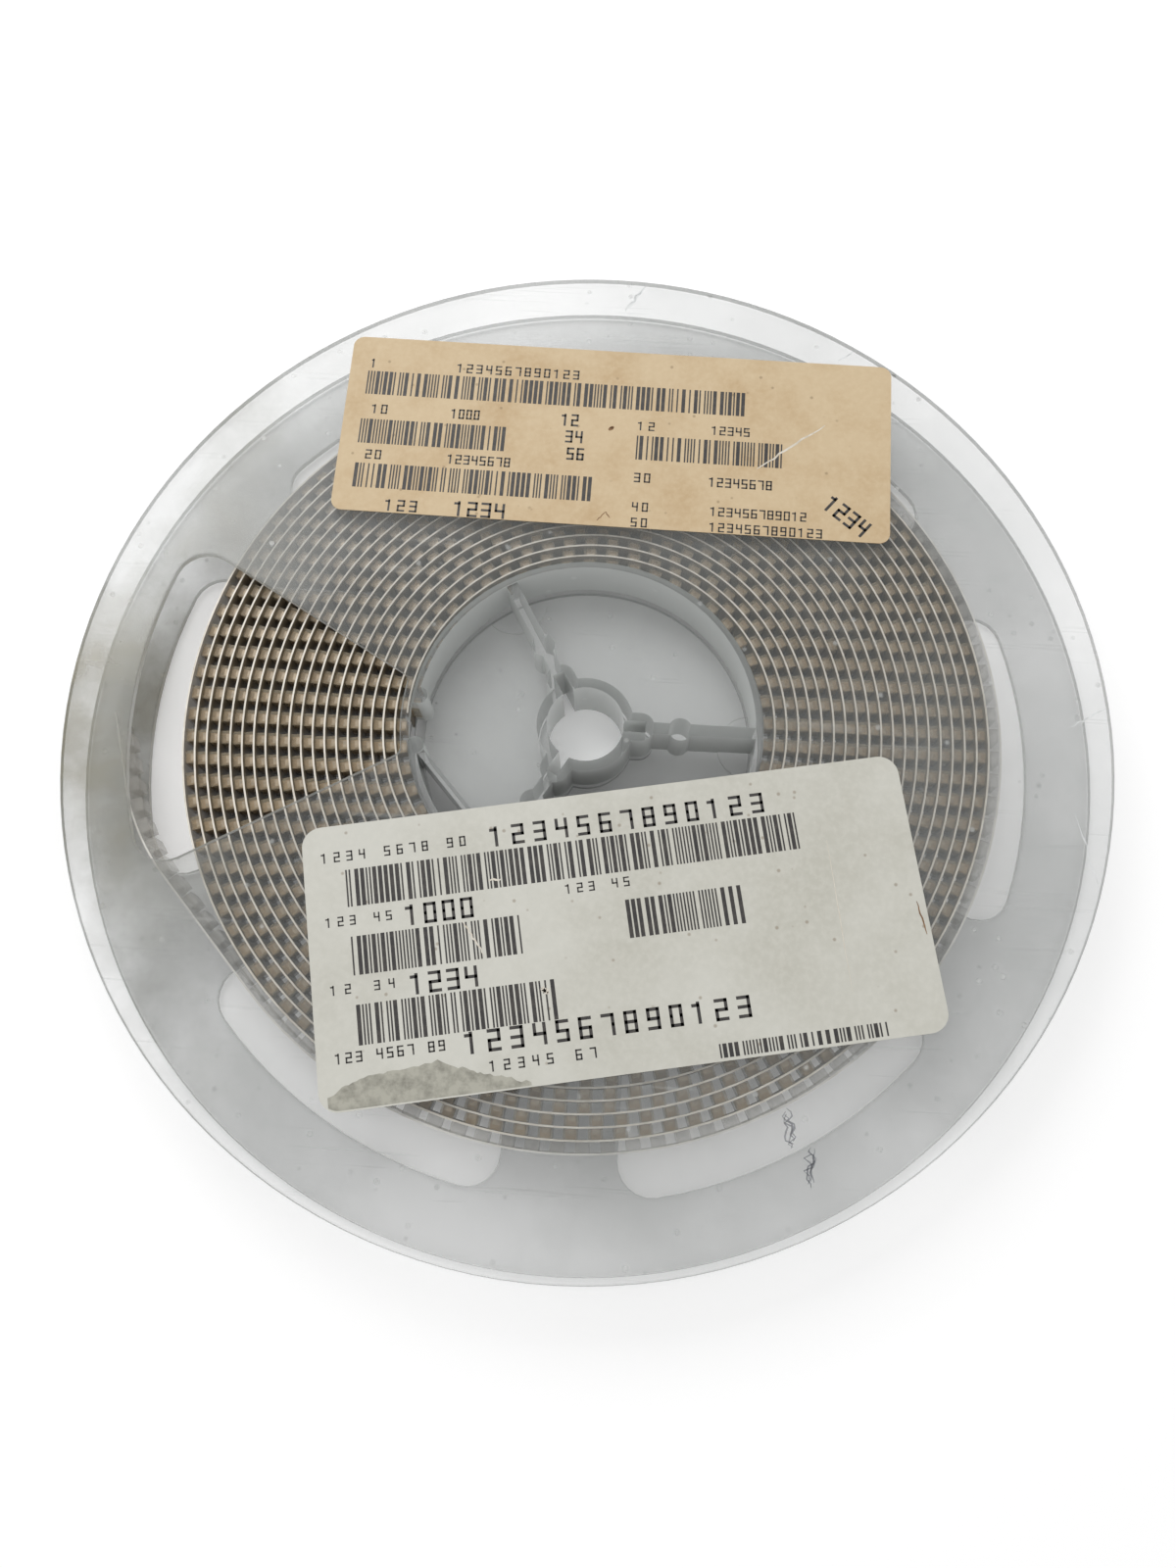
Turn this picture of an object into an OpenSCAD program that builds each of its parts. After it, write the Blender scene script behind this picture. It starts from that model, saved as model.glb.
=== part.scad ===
// Clear 7 inch reel for 8 mm embossed carrier tape, part used.
// The origin is on the arbor axis at the outer face of the back flange, and +Z runs to the front.
// +X lies along one of the three hub ribs.

/* [Reel] */
// Outside diameter of both flanges
reel_d = 178; // [176:0.5:180]
// Thickness of each flange
flange_t = 1.5; // [1.2:0.1:2]
// Clear space between the flanges
tape_gap = 8.9; // [8.4:0.1:9.9]
// Edge break round the rims and the windows
edge_break = 0.2; // [0.1:0.05:0.3]

/* [Hub] */
// Outside diameter of the hub
hub_d = 61; // [60:0.1:61.2]
// Thickness of the hub wall
hub_wall = 1.5; // [1.2:0.1:1.8]
// Thickness of the web that closes the back of the hub
web_t = 1.6; // [1.2:0.1:2]
// Depth of the web below the back face
web_set = 1; // [0.6:0.1:1.4]
// Width of the step on which the front flange seats
seat_w = 0.55; // [0.4:0.05:0.7]
// Clearance between the hub and the front flange
seat_clearance = 0.1; // [0.05:0.05:0.2]
// Width of the ribs
rib_w = 2; // [1.4:0.1:2.6]
// Depth of the rib tops below the front face
rib_set = 0.5; // [0.3:0.1:1.5]
// Radius of the ejector pad on each rib
pin_pad_r = 2; // [1.5:0.1:2.4]
// Distance of that pad from the arbor axis
pin_pad_at = 16.2; // [15.5:0.1:20]
// Radius of the low pad at the foot of each rib
foot_pad_r = 5.8; // [4:0.1:6.5]
// Height of the low pad
foot_pad_h = 0.4; // [0.2:0.1:0.8]

/* [Arbor] */
// Diameter of the arbor hole
arbor_d = 13.2; // [13:0.1:13.5]
// Thickness of the wall round the arbor hole
arbor_wall = 1.7; // [1.4:0.1:2.2]
// Depth of the arbor tube below the front face
arbor_set = 0.3; // [0.1:0.1:1.5]
// Width of the three keyways
key_w = 2; // [1.5:0.1:2.5]
// Distance from the arbor axis to the end of a keyway
key_reach = 10.3; // [10.1:0.1:11]
// Thickness of the wall round a keyway
key_wall = 1.5; // [1.2:0.1:1.8]

/* [Tape slot] */
// Bearing of the middle of the slot, in degrees from +X
slot_at = 182; // [178:1:186]
// Width of the slot round the hub
slot_w = 6.4; // [5:0.1:8]
// Radius of the rounded ends of the wall beside the slot
slot_end_r = 1.5; // [1.2:0.1:1.8]
// Thickness of the straight wall behind the slot
guide_t = 1.2; // [0.8:0.1:1.6]
// Distance from the arbor axis at which that wall meets a rib
guide_at = 26; // [22:0.5:27]

/* [Windows] */
// Number of windows in the back flange
windows = 6; // [4:1:6]
// Distance from the arbor axis to the outer edge of a window
window_r = 77.8; // [76:0.1:80]
// Width of the spokes between windows
spoke_w = 19; // [16:0.5:22]
// Width of the ring left round the hub
hub_ring = 1.1; // [0.8:0.1:2]
// Radius of a window's outer corners
window_corner_r = 5.5; // [4:0.1:7]
// Radius of a window's inner corners
window_foot_r = 1.6; // [1:0.1:2.5]

/* [Tape] */
// Width of the carrier tape
tape_w = 8; // [7.8:0.1:8.2]
// Thickness of the carrier tape
tape_t = 0.3; // [0.2:0.05:0.35]
// Growth of the winding's radius in one turn
turn_pitch = 2.02; // [2:0.01:2.1]
// Number of full turns in the winding
full_turns = 19; // [14:1:20]
// Clearance between the hub and the first turn
first_clearance = 0.2; // [0.15:0.05:0.4]
// Distance of the winding's centre from the arbor axis along +X
lean_x = 0.3; // [0.2:0.05:0.4]
// Distance of the winding's centre from the arbor axis along +Y
lean_y = 0.9; // [0.6:0.1:1]
// Bearing at which the free end leaves the winding, in degrees from +X
leave_at = 223; // [205:1:240]
// Bearing on the last turn from which the pockets are empty, in degrees from +X
empty_from = 52; // [30:1:90]
// Number of outer turns modelled pocket by pocket
pocket_turns = 3; // [2:1:4]

/* [Free end] */
// Length of the straight stretch where the tape leaves the winding
tail_run = 24; // [16:1:28]
// Radius of the bend that follows
tail_bend_r = 40; // [30:1:50]
// Angle of that bend, in degrees
tail_bend = 26; // [15:1:30]
// Length of the last straight stretch
tail_tip = 13; // [5:1:15]

/* [Pockets and sprocket holes] */
// Distance from one pocket or sprocket hole to the next
pocket_pitch = 4; // [4:0.1:4.4]
// Distance from the sprocket edge to the middle of a pocket
pocket_line = 5.25; // [5.1:0.05:5.4]
// Thickness of a pocket's walls
pocket_wall = 0.25; // [0.15:0.05:0.3]
// Clearance round a part in its pocket
pocket_clearance = 0.1; // [0.05:0.01:0.12]
// Diameter of the sprocket holes
sprocket_d = 1.5; // [1.3:0.1:1.6]
// Distance from the sprocket edge to the middle of a sprocket hole
sprocket_line = 1.75; // [1.5:0.05:1.9]

/* [Capacitors] */
// Length of a chip, across the tape
chip_l = 3.2; // [2.8:0.1:3.4]
// Width of a chip, along the tape
chip_w = 1.6; // [1.2:0.1:1.8]
// Height of a chip, through the tape
chip_h = 1.6; // [1.2:0.05:1.6]
// Width of the metal foot at each end of a chip
foot_w = 1.2; // [0.8:0.1:1.4]
// Height of the metal foot up the end of a chip
foot_h = 0.8; // [0.4:0.1:1.1]
// Distance that the metal foot reaches under a chip
foot_reach = 0.8; // [0.5:0.1:1]
// Thickness of the metal foot
foot_t = 0.12; // [0.1:0.02:0.2]

/* [Labels] */
// Thickness of both labels
label_t = 0.12; // [0.08:0.02:0.2]
// Length of the aged label
aged_l = 100; // [80:1:101]
// Width of the aged label
aged_w = 36; // [25:1:36]
// Corner radius of the aged label
aged_corner_r = 2; // [1:0.5:4]
// Distance from the rim to the middle of the aged label
aged_in = 33.9; // [32:0.1:36]
// Length of the white label
white_l = 100; // [80:1:110]
// Width of the white label
white_w = 46; // [30:1:46]
// Corner radius of the white label
white_corner_r = 3.2; // [1:0.1:6]
// Distance from the rim to the middle of the white label
white_in = 54.4; // [50:0.1:56]

/* [Hidden] */
$fn = 96;

reel_r = reel_d / 2;
hub_r = hub_d / 2;
arbor_r = arbor_d / 2;
back_face_z = flange_t;
seat_z = flange_t + tape_gap;
top_z = seat_z + flange_t;
web_z = web_set + web_t;
recess_r = hub_r - hub_wall;
spigot_r = hub_r - seat_w;
ribs = 3;
rib_step = 360 / ribs;
key_boss_r = key_w / 2 + key_wall;
rib_h = top_z - rib_set - web_set;
past = 1;

window_in_r = hub_r + hub_ring;
window_step = 360 / windows;
front_window_at = 180;
rim_steps = 6;
corner_steps = 6;
foot_steps = 4;
ring_steps = 2;

// Poses of the labels on the front flange: middle and turn
aged_at = [2, reel_r - aged_in];
aged_turn = -0.8;
white_at = [7.5, white_in - reel_r];
white_turn = 10.9;

// The winding is a spiral of half turns, whose centres lie to the two sides of its own centre
half_step = turn_pitch / 2;
centre_shift = turn_pitch / 4;
first_r = hub_r + first_clearance + tape_t + lean_x + centre_shift;
last_half = 2 * full_turns + 1;
first_pocket_half = last_half - 2 * pocket_turns + 1;
tape_z = back_face_z;
pocket_z = tape_z + pocket_line;
sprocket_z = tape_z + sprocket_line;

// A pocket is as large inside as the chip and its clearance, and its floor reaches the next turn
cavity_w = chip_w + 2 * pocket_clearance;
cavity_l = chip_l + 2 * pocket_clearance;
pocket_w = cavity_w + 2 * pocket_wall;
pocket_l = cavity_l + 2 * pocket_wall;
pocket_depth = turn_pitch - tape_t;
bond = tape_t / 2;
chip_play = (pocket_depth - chip_h) / 2;

// Radius of the outer side of a half turn, its centre, and whether it is the upper one
function half_r(i) = first_r + i * half_step;
function half_centre(i) = [lean_x + (i % 2 == 0 ? centre_shift : -centre_shift), lean_y];
function half_start(i) = i % 2 == 0 ? 180 : 360;

// Bearings of the pockets on a half turn, clockwise from its start
function pockets_on(i) = floor(PI * half_r(i) / pocket_pitch);
function pocket_bearing(i, k) = half_start(i) - (k + 0.5) * 180 / pockets_on(i);
function carries(i, bearing) =
    i < last_half - 1 ? true : i == last_half - 1 && bearing > empty_from;
function on_last_turn(i, bearing) = i == last_half - 1 || i == last_half && bearing > leave_at;
function is_open(i, bearing) = !carries(i, bearing) && on_last_turn(i, bearing);

// Place and heading along the middle of the free end, in its own frame: it starts along +X,
// and bends towards -Y
tail_bend_l = tail_bend_r * tail_bend * PI / 180;
tail_l = tail_run + tail_bend_l + tail_tip;
tail_pockets = floor(tail_l / pocket_pitch);
tail_facets = 10;
bend_end = [tail_run + tail_bend_r * sin(tail_bend), tail_bend_r * (cos(tail_bend) - 1)];
function turned(s) = s < tail_run ? 0 : min(tail_bend, (s - tail_run) / tail_bend_r * 180 / PI);
function tail_at(s) =
    s < tail_run ? [s, 0] :
    s < tail_run + tail_bend_l
        ? [tail_run + tail_bend_r * sin(turned(s)), tail_bend_r * (cos(turned(s)) - 1)]
        : bend_end + (s - tail_run - tail_bend_l) * [cos(tail_bend), -sin(tail_bend)];

// Unit vector at a bearing, points of an arc, and bearing of a point
function toward(a) = [cos(a), sin(a)];
function arc(centre, r, from, to, n) =
    [for (k = [0:n]) centre + r * toward(from + (to - from) * k / n)];
function bearing_of(p) = atan2(p[1], p[0]);

// Half of a window's outline, from the middle of its outer edge to the middle of its inner
// edge, moved outward by grow.  Its side runs parallel to the spoke beside it.
function half_window(grow) =
    let (side = window_step / 2,
         inset = spoke_w / 2 - grow,
         outer = window_r + grow,
         inner = window_in_r - grow,
         corner = window_corner_r + grow,
         foot = window_foot_r + grow,
         along = toward(side),
         across = toward(side - 90),
         c = sqrt(pow(outer - corner, 2) - pow(inset + corner, 2)) * along
             + (inset + corner) * across,
         f = sqrt(pow(inner + foot, 2) - pow(inset + foot, 2)) * along + (inset + foot) * across)
    concat(arc([0, 0], outer, 0, bearing_of(c), rim_steps),
           arc(c, corner, bearing_of(c), side + 90, corner_steps),
           arc(f, foot, side + 90, bearing_of(f) + 180, foot_steps),
           arc([0, 0], inner, bearing_of(f), 0, ring_steps));
function mirrored(points) = [for (k = [len(points) - 2:-1:1]) [points[k][0], -points[k][1]]];
function window_outline(grow) = concat(half_window(grow), mirrored(half_window(grow)));

// Cutter for a window on +X through a plate from z = 0 to z = flange_t, with broken edges
module window_cutter() {
    levels = [[-past, edge_break + past], [edge_break, 0],
              [flange_t - edge_break, 0], [flange_t + past, edge_break + past]];
    n = len(window_outline(0));
    points = [for (level = levels) for (p = window_outline(level[1])) [p[0], p[1], level[0]]];
    bottom = [for (k = [0:n - 1]) k];
    top = [for (k = [n - 1:-1:0]) 3 * n + k];
    sides = [for (j = [0:2]) for (k = [0:n - 1])
             [j * n + k, (j + 1) * n + k, (j + 1) * n + (k + 1) % n, j * n + (k + 1) % n]];
    polyhedron(points, concat([bottom, top], sides));
}

// Flat ring with its outer edges broken, standing on z = 0
module flange_ring(inner_r) {
    rotate_extrude()
        polygon([[inner_r, 0], [reel_r - edge_break, 0], [reel_r, edge_break],
                 [reel_r, flange_t - edge_break], [reel_r - edge_break, flange_t],
                 [inner_r, flange_t]]);
}

// Hub wall with the step on which the front flange seats
module hub_shell() {
    rotate_extrude()
        polygon([[recess_r, 0], [hub_r, 0], [hub_r, seat_z], [spigot_r, seat_z],
                 [spigot_r, top_z], [recess_r, top_z]]);
}

// Slot in the hub wall for the tape's end, down to the web
module slot_cut() {
    half_angle = slot_w / 2 / hub_r * 180 / PI;
    rotate(slot_at - half_angle)
        translate([0, 0, web_z])
            rotate_extrude(angle = 2 * half_angle)
                translate([recess_r - past, 0])
                    square([hub_wall + 2 * past, top_z]);
}

// Bearings of the rounded wall ends on the two sides of the slot
function slot_end_at(side) =
    slot_at + side * (slot_w / 2 + slot_end_r) / hub_r * 180 / PI;

// Rounded wall ends, kept within the front flange's seat
module slot_end_outlines() {
    intersection() {
        circle(spigot_r);
        for (side = [-1, 1])
            translate((hub_r - slot_end_r) * toward(slot_end_at(side)))
                circle(slot_end_r);
    }
}

// Straight wall from the lower end of the slot to a rib
module guide_outline() {
    from = (hub_r - slot_end_r) * toward(slot_end_at(1));
    to = guide_at * toward(2 * rib_step);
    translate(from)
        rotate(bearing_of(to - from))
            translate([0, -guide_t / 2])
                square([norm(to - from), guide_t]);
}

// Rib with its round ejector pad
module rib_outline() {
    inner = arbor_r + arbor_wall / 2;
    translate([inner, -rib_w / 2])
        square([recess_r + hub_wall / 2 - inner, rib_w]);
    translate([pin_pad_at, 0])
        circle(pin_pad_r);
}

// Low round pad at the foot of a rib, kept within the hub wall
module foot_pads() {
    translate([0, 0, web_set])
        linear_extrude(web_t + foot_pad_h)
            intersection() {
                circle(spigot_r);
                for (k = [0:ribs - 1])
                    rotate(k * rib_step)
                        translate([recess_r, 0])
                            circle(foot_pad_r);
            }
}

// Arbor tube with a boss round each keyway, and the hole through it
module arbor_tube_outline() {
    reach = key_reach + key_wall - key_boss_r;
    circle(arbor_r + arbor_wall);
    for (k = [0:ribs - 1])
        rotate(k * rib_step) {
            translate([0, -key_boss_r])
                square([reach, 2 * key_boss_r]);
            translate([reach, 0])
                circle(key_boss_r);
        }
}

module arbor_hole_outline() {
    circle(arbor_r);
    for (k = [0:ribs - 1])
        rotate(k * rib_step)
            translate([0, -key_w / 2])
                square([key_reach, key_w]);
}

// Back flange, hub, web, ribs and arbor tube are one moulding
module hub_and_back_flange() {
    color([0.82, 0.84, 0.85, 0.45])
        difference() {
            union() {
                difference() {
                    union() {
                        flange_ring(recess_r + hub_wall / 2);
                        hub_shell();
                    }
                    slot_cut();
                    for (k = [0:windows - 1])
                        rotate(k * window_step)
                            window_cutter();
                }
                translate([0, 0, web_set]) {
                    cylinder(r = recess_r + hub_wall / 2, h = web_t);
                    linear_extrude(rib_h) {
                        for (k = [0:ribs - 1])
                            rotate(k * rib_step)
                                rib_outline();
                        guide_outline();
                    }
                    linear_extrude(top_z - web_set)
                        slot_end_outlines();
                }
                foot_pads();
                linear_extrude(top_z - arbor_set)
                    arbor_tube_outline();
            }
            translate([0, 0, -past])
                linear_extrude(top_z + 2 * past)
                    arbor_hole_outline();
        }
}

// Front flange with its single window
module front_flange() {
    color([0.84, 0.86, 0.87, 0.35])
        translate([0, 0, seat_z])
            difference() {
                flange_ring(spigot_r + seat_clearance);
                rotate(front_window_at)
                    window_cutter();
            }
}

// Part of a half turn's band from inner_r to outer_r, clockwise over the given angle
module half_band(i, inner_r, outer_r, z, h, angle = 180) {
    c = half_centre(i);
    translate([c[0], c[1], z])
        rotate(half_start(i) - angle)
            rotate_extrude(angle = angle)
                translate([inner_r, 0])
                    square([outer_r - inner_r, h]);
}

// Places its children at a pocket of a half turn: X across the turn, outward from the back of
// the tape, and Y along it
module at_pocket(i, bearing) {
    c = half_centre(i);
    translate([c[0], c[1], 0])
        rotate(bearing)
            translate([half_r(i) - tape_t, 0, 0])
                children();
}

// Outside of a pocket, whose mouth is at X = 0: it reaches into the web, and past its floor
module pocket_shell(floor_bond) {
    translate([-pocket_depth - floor_bond, -pocket_w / 2, pocket_z - pocket_l / 2])
        cube([pocket_depth + floor_bond + bond, pocket_w, pocket_l]);
}

// Inside of a sealed pocket
module pocket_cavity() {
    translate([-pocket_depth + chip_play / 2, -cavity_w / 2, pocket_z - cavity_l / 2])
        cube([pocket_depth - chip_play, cavity_w, cavity_l]);
}

// Inside of an open pocket, out through its mouth
module pocket_mouth() {
    translate([-pocket_depth + pocket_wall, -cavity_w / 2, pocket_z - cavity_l / 2])
        cube([pocket_depth + tape_t + past, cavity_w, cavity_l]);
}

module sprocket_cut() {
    translate([-tape_t, 0, sprocket_z])
        rotate([0, 90, 0])
            cylinder(d = sprocket_d, h = 3 * tape_t);
}

// Free end of the tape, from its start on the winding
module on_tail(s) {
    p = tail_at(s);
    translate([p[0], p[1], 0])
        rotate(90 - turned(s))
            translate([-tape_t / 2, 0, 0])
                children();
}

module tail_frame() {
    c = half_centre(last_half);
    translate([c[0], c[1], 0])
        rotate(leave_at)
            translate([half_r(last_half) - tape_t / 2, 0, 0])
                rotate(-90)
                    children();
}

module tail_web() {
    stations = concat([0], [for (k = [0:tail_facets]) tail_run + tail_bend_l * k / tail_facets],
                      [tail_l]);
    side = [for (s = stations) tape_t / 2 * toward(90 - turned(s))];
    n = len(stations);
    translate([0, 0, tape_z])
        linear_extrude(tape_w)
            polygon(concat([for (k = [0:n - 1]) tail_at(stations[k]) + side[k]],
                           [for (k = [n - 1:-1:0]) tail_at(stations[k]) - side[k]]));
}

// The whole tape is one strip: the winding, its last turns pocket by pocket, and the free end
module carrier_tape() {
    color([0.62, 0.56, 0.47])
        difference() {
            union() {
                for (i = [0:last_half - 1])
                    half_band(i, half_r(i) - tape_t, half_r(i), tape_z, tape_w);
                half_band(last_half, half_r(last_half) - tape_t, half_r(last_half),
                          tape_z, tape_w, 360 - leave_at);
                for (i = [first_pocket_half - 2, first_pocket_half - 1])
                    half_band(i, half_r(i % 2) - bond, half_r(i) - bond,
                              pocket_z - pocket_l / 2, pocket_l);
                for (i = [first_pocket_half:last_half])
                    for (k = [0:pockets_on(i) - 1])
                        if (i < last_half || pocket_bearing(i, k) > leave_at)
                            at_pocket(i, pocket_bearing(i, k))
                                pocket_shell(bond);
                tail_frame() {
                    tail_web();
                    for (k = [0:tail_pockets - 1])
                        on_tail((k + 0.5) * pocket_pitch)
                            pocket_shell(0);
                }
            }
            for (i = [last_half - 2:last_half])
                for (k = [0:pockets_on(i) - 1])
                    at_pocket(i, pocket_bearing(i, k)) {
                        if (carries(i, pocket_bearing(i, k)))
                            pocket_cavity();
                        if (is_open(i, pocket_bearing(i, k)))
                            pocket_mouth();
                        if (on_last_turn(i, pocket_bearing(i, k)))
                            sprocket_cut();
                    }
            tail_frame()
                for (k = [0:tail_pockets - 1])
                    on_tail((k + 0.5) * pocket_pitch) {
                        pocket_mouth();
                        sprocket_cut();
                    }
        }
}

// Pockets of the loaded outer turn, with a chip in each
module at_chips() {
    for (i = [last_half - 2:last_half - 1])
        for (k = [0:pockets_on(i) - 1])
            if (carries(i, pocket_bearing(i, k)))
                at_pocket(i, pocket_bearing(i, k))
                    translate([-chip_play - chip_h, 0, pocket_z])
                        children();
}

// Moulded body of a chip, which stands on its feet
module capacitor_bodies() {
    color([0.78, 0.62, 0.42])
        at_chips()
            translate([foot_t, -chip_w / 2, -chip_l / 2 + foot_t])
                cube([chip_h - foot_t, chip_w, chip_l - 2 * foot_t]);
}

// Metal feet of the chips: each runs up the end of its chip and folds under it
module capacitor_terminals() {
    color([0.8, 0.8, 0.8])
        at_chips()
            for (side = [0, 1])
                mirror([0, 0, side])
                    translate([0, foot_w / 2, chip_l / 2])
                        rotate([90, 0, 0])
                            linear_extrude(foot_w)
                                polygon([[0, 0], [foot_h, 0], [foot_h, -foot_t],
                                         [foot_t, -foot_t], [foot_t, -foot_reach],
                                         [0, -foot_reach]]);
}

// Sheet with rounded corners, centred on the origin and standing on z = 0
module label_sheet(l, w, r) {
    union() {
        translate([-l / 2 + r, -w / 2, 0])
            cube([l - 2 * r, w, label_t]);
        translate([-l / 2, -w / 2 + r, 0])
            cube([l, w - 2 * r, label_t]);
        for (x = [-1, 1])
            for (y = [-1, 1])
                translate([x * (l / 2 - r), y * (w / 2 - r), 0])
                    cylinder(r = r, h = label_t);
    }
}

module aged_label() {
    color([0.8, 0.72, 0.58])
        translate([aged_at[0], aged_at[1], top_z])
            rotate(aged_turn)
                label_sheet(aged_l, aged_w, aged_corner_r);
}

module white_label() {
    color([0.86, 0.85, 0.81])
        translate([white_at[0], white_at[1], top_z])
            rotate(white_turn)
                label_sheet(white_l, white_w, white_corner_r);
}

hub_and_back_flange();
front_flange();
carrier_tape();
capacitor_bodies();
capacitor_terminals();
aged_label();
white_label();
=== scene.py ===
"""Looks for a clear part-used reel of embossed carrier tape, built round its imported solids."""

import math
import random

import bpy
from bpy.props import FloatProperty, FloatVectorProperty, IntProperty, PointerProperty
from mathutils import Matrix, Vector


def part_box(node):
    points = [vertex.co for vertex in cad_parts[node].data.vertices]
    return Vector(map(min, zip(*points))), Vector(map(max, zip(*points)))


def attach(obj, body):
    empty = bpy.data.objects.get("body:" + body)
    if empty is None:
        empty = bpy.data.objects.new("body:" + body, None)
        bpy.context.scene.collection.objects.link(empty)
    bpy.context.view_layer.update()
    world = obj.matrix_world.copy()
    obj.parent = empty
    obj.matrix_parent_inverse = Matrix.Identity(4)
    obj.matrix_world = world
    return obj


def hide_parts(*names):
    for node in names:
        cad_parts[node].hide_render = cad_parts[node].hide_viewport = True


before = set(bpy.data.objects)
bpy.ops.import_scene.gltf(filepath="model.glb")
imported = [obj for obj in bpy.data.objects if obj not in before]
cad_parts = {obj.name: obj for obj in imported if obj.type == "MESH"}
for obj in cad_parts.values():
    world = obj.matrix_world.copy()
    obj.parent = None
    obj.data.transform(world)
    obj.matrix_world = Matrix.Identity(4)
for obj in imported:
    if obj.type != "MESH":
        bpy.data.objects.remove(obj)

bl_info = {
    "name": "Carrier tape reel",
    "version": (1, 0, 0),
    "blender": (4, 5, 0),
    "location": "3D View > Sidebar > Tape reel",
    "description": "Dresses a clear reel of embossed carrier tape",
    "category": "Object",
}

MM = 0.001
BODY = "root"
FACE_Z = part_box("front_flange")[1].z / MM
TAPE_LOW, TAPE_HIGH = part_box("carrier_tape")
LABEL_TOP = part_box("aged_label")[1].z / MM


def srgb(red, green, blue):
    """Linear colour from the 0 to 255 values of a screen colour."""

    def linear(value):
        value /= 255
        return value / 12.92 if value <= 0.04045 else ((value + 0.055) / 1.055) ** 2.4

    return (linear(red), linear(green), linear(blue), 1.0)


def toward(bearing):
    return Vector((math.cos(math.radians(bearing)), math.sin(math.radians(bearing))))


# ---------------------------------------------------------------- settings


class ReelPlasticSettings(bpy.types.PropertyGroup):
    # The haze colour and cover below are partly the plastic's own haze and partly painted shade:
    # both are set darker for the grey that shadow gives the flange ring over the tape.
    haze_and_shade_tint: FloatVectorProperty(
        name="Tint", description="Colour of the clear plastic's haze", subtype="COLOR",
        size=4, min=0, max=1, default=srgb(172, 175, 173))
    haze: FloatProperty(
        name="Haze", description="Cover of the haze at one face of a flange",
        default=0.075, min=0, max=1, subtype="FACTOR")
    gloss_roughness: FloatProperty(
        name="Roughness", description="Roughness of the moulded faces",
        default=0.16, min=0, max=1, subtype="FACTOR")


class TapeSettings(bpy.types.PropertyGroup):
    turn_pitch: FloatProperty(
        name="Turn pitch", description="Growth of the radius in one turn",
        default=2.02 * MM, min=1.5 * MM, max=3 * MM, unit="LENGTH")
    first_radius: FloatProperty(
        name="First radius", description="Outer radius of the first half turn",
        default=31.805 * MM, min=30 * MM, max=40 * MM, unit="LENGTH")
    half_turns: IntProperty(
        name="Half turns", description="Number of half turns, the last one cut short",
        default=40, min=2, max=44)
    lean: FloatVectorProperty(
        name="Lean", description="Winding's centre from the arbor axis",
        size=2, default=(0.3 * MM, 0.9 * MM), unit="LENGTH")
    leave_at: FloatProperty(
        name="Leaves at", description="Bearing at which the free end leaves",
        default=math.radians(223), min=math.radians(180), max=math.radians(260),
        subtype="ANGLE")
    empty_from: FloatProperty(
        name="Empty from", description="Bearing from which the last turn is empty",
        default=math.radians(52), min=0, max=math.pi, subtype="ANGLE")
    thickness: FloatProperty(
        name="Thickness", description="Thickness of the tape",
        default=0.3 * MM, min=0.1 * MM, max=0.5 * MM, unit="LENGTH")
    pocket_pitch: FloatProperty(
        name="Pocket pitch", description="From one pocket to the next",
        default=4 * MM, min=2 * MM, max=8 * MM, unit="LENGTH")


class ChipSettings(bpy.types.PropertyGroup):
    resin: FloatVectorProperty(
        name="Resin", description="Colour of the moulded bodies", subtype="COLOR",
        size=4, min=0, max=1, default=srgb(180, 148, 108))
    tin: FloatVectorProperty(
        name="Tin", description="Colour of the metal feet", subtype="COLOR",
        size=4, min=0, max=1, default=srgb(196, 178, 156))


class LabelSettings(bpy.types.PropertyGroup):
    aged_paper: FloatVectorProperty(
        name="Aged paper", description="Colour of the yellowed label", subtype="COLOR",
        size=4, min=0, max=1, default=srgb(203, 181, 146))
    white_paper: FloatVectorProperty(
        name="White paper", description="Colour of the off-white label", subtype="COLOR",
        size=4, min=0, max=1, default=srgb(205, 204, 195))
    ink: FloatVectorProperty(
        name="Ink", description="Colour of the print", subtype="COLOR",
        size=4, min=0, max=1, default=srgb(34, 32, 32))


class StageSettings(bpy.types.PropertyGroup):
    world_level: FloatProperty(
        name="World level", description="Strength of the even light", default=0.72,
        min=0, max=2)
    floor_lift: FloatProperty(
        name="Floor lift", description="Light that the floor adds where it is seen",
        default=0.14, min=0, max=1)
    lamp_energy: FloatProperty(
        name="Lamp", description="Power of the soft lamp", default=2.2, min=0, max=50,
        subtype="POWER", unit="POWER")


# ---------------------------------------------------------------- nodes and materials


def add_node(tree, kind, **values):
    """A new node whose sockets take the given values: names with _ stand for spaces."""
    node = tree.nodes.new(kind)
    for name, value in values.items():
        if hasattr(node, name):
            setattr(node, name, value)
        else:
            node.inputs[name.replace("_", " ")].default_value = value
    return node


def ramp(tree, source, low, high):
    """Mask that climbs from 0 to 1 as source goes from low to high."""
    node = add_node(tree, "ShaderNodeMapRange", clamp=True)
    node.inputs["From Min"].default_value = low
    node.inputs["From Max"].default_value = high
    tree.links.new(source, node.inputs["Value"])
    return node.outputs["Result"]


def mask_group(name, build):
    """Node group with a Scale and an Amount in, and a Mask out."""
    group = bpy.data.node_groups.new(name, "ShaderNodeTree")
    for label, value in (("Scale", 1.0), ("Amount", 1.0)):
        socket = group.interface.new_socket(label, in_out="INPUT", socket_type="NodeSocketFloat")
        socket.default_value = value
    group.interface.new_socket("Mask", in_out="OUTPUT", socket_type="NodeSocketFloat")
    entry = group.nodes.new("NodeGroupInput")
    end = group.nodes.new("NodeGroupOutput")
    place = group.nodes.new("ShaderNodeTexCoord")
    mask = build(group, place.outputs["Object"], entry.outputs["Scale"])
    product = add_node(group, "ShaderNodeMath", operation="MULTIPLY")
    group.links.new(mask, product.inputs[0])
    group.links.new(entry.outputs["Amount"], product.inputs[1])
    group.links.new(product.outputs[0], end.inputs["Mask"])
    return group


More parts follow.
